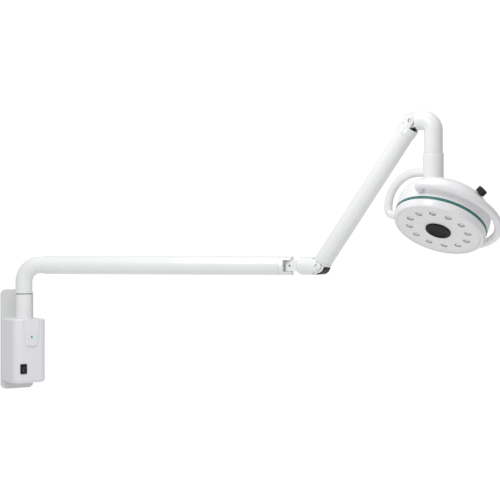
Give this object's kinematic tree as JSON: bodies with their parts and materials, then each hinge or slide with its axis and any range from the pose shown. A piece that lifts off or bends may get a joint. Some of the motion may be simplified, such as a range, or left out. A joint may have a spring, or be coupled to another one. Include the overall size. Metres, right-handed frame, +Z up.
{
  "type": "surgical light",
  "caption": "Wall-mounted LED examination light with a swinging main arm, a balanced spring arm, a swivelling stem and a round tilting lamp head with a side handle.",
  "frame": {"origin": "centre of the wall plate's back face, which lies on the wall", "axes": "+Z up, +Y into the wall, the light reaches out towards -Y and +X; metres"},
  "size_m": [0.8744, 1.1692, 0.7388],
  "materials": {
    "white_enamel": "satin white powder coat",
    "plate_grey": "matt light grey powder coat",
    "housing_white": "smooth moulded plastic, faintly lavender white",
    "head_white": "smooth moulded plastic, white",
    "face_grey": "fine matt plastic, pale grey",
    "black_plastic": "matt black",
    "green_band": "dark teal green, smooth",
    "green_lens": "translucent green lens",
    "clear_lens": "clear moulded optics",
    "circuit_board": "white solder mask",
    "steel": "turned and plated steel",
    "aluminium": "bare die-cast aluminium"
  },
  "bodies": {
    "wall_unit": {"wall_plate": "plate_grey", "wall_screw_1": "steel", "wall_screw_2": "steel", "wall_screw_3": "steel", "wall_screw_4": "steel", "post_bracket": "steel", "wall_post": "white_enamel", "swivel_bush": "black_plastic", "power_housing": "housing_white", "housing_screw_left": "steel", "housing_screw_right": "steel", "power_supply": "aluminium", "nameplate_badge": "housing_white", "status_led": "green_lens", "power_inlet": "black_plastic", "rocker_frame": "black_plastic"},
    "rocker": {"rocker": "black_plastic"},
    "main_arm": {"elbow_tube": "white_enamel", "main_arm_tube": "white_enamel", "arm_end_fork": "white_enamel", "fork_pin": "steel", "fork_washer_lower": "black_plastic", "fork_washer_upper": "black_plastic"},
    "knuckle": {"knuckle": "white_enamel", "pitch_pin_lower": "steel", "link_pin_lower": "steel"},
    "spring_arm": {"lower_hub": "black_plastic", "lower_cap": "white_enamel", "spring_tube": "white_enamel", "upper_cap": "white_enamel", "pitch_pin_upper": "steel", "spring_seat_lower": "steel", "spring_seat_upper": "steel", "balance_spring": "steel"},
    "level_link": {"level_link": "steel"},
    "gooseneck": {"gooseneck": "white_enamel", "upper_hub": "black_plastic", "link_pin_upper": "steel", "stem_spindle": "steel", "spindle_nut": "steel"},
    "stem": {"swivel_collar": "white_enamel", "yoke_arm": "white_enamel", "tilt_bolt": "steel", "friction_washer": "black_plastic"},
    "lamp_head": {"front_bezel": "head_white", "green_ring": "green_band", "head_shell": "head_white", "face_plate": "face_grey", "lens_plate": "clear_lens", "led_board": "circuit_board", "heat_sink": "aluminium", "centre_hub": "black_plastic", "driver_board": "circuit_board", "tilt_bush": "black_plastic", "handle_bow": "head_white", "handle_screw_left": "steel", "handle_screw_right": "steel", "dimmer_encoder": "black_plastic"},
    "dimmer_knob": {"dimmer_knob": "black_plastic", "dimmer_shaft": "steel"}
  },
  "joints": [
    {"name": "column_swivel", "type": "hinge", "parent": "wall_unit", "child": "main_arm", "pos_m": [0, -0.0535, 0.209], "axis": [0, 0, 1], "range_deg": [-130, 44]},
    {"name": "elbow_swivel", "type": "hinge", "parent": "main_arm", "child": "knuckle", "pos_m": [0.51832, -0.60933, 0.209], "axis": [0, 0, 1], "range_deg": [-71, 109]},
    {"name": "arm_pitch", "type": "hinge", "parent": "knuckle", "child": "spring_arm", "pos_m": [0.55777, -0.69794, 0.209], "axis": [-0.9135, -0.4067, 0], "range_deg": [-85, 1]},
    {"name": "gooseneck_level", "type": "hinge", "parent": "spring_arm", "child": "gooseneck", "pos_m": [0.66785, -0.94519, 0.57476], "axis": [-0.9135, -0.4067, 0], "range_deg": [-1, 85]},
    {"name": "link_follow", "type": "hinge", "parent": "knuckle", "child": "level_link", "pos_m": [0.55649, -0.69507, 0.22264], "axis": [-0.9135, -0.4067, 0], "range_deg": [-85, 1]},
    {"name": "stem_swivel", "type": "hinge", "parent": "gooseneck", "child": "stem", "pos_m": [0.68982, -0.99452, 0.47475], "axis": [0, 0, 1], "range_deg": [-100, 170]},
    {"name": "head_tilt", "type": "hinge", "parent": "stem", "child": "lamp_head", "pos_m": [0.699, -1.02118, 0.34046], "axis": [-0.3256, 0.9455, 0], "range_deg": [-64.6, 1.4]},
    {"name": "dimmer_turn", "type": "hinge", "parent": "lamp_head", "child": "dimmer_knob", "pos_m": [0.73067, -1.1129, 0.38677], "axis": [0.4359, -0.5755, 0.6919], "range_deg": [0, 270]},
    {"name": "power_rocker", "type": "hinge", "parent": "wall_unit", "child": "rocker", "pos_m": [-0.0226, -0.0995, -0.078], "axis": [1, 0, 0], "range_deg": [-12, 0]}
  ],
  "couplings": [
    {"joint": "gooseneck_level", "follows": "arm_pitch", "ratio": -1},
    {"joint": "link_follow", "follows": "arm_pitch", "ratio": 1}
  ]
}
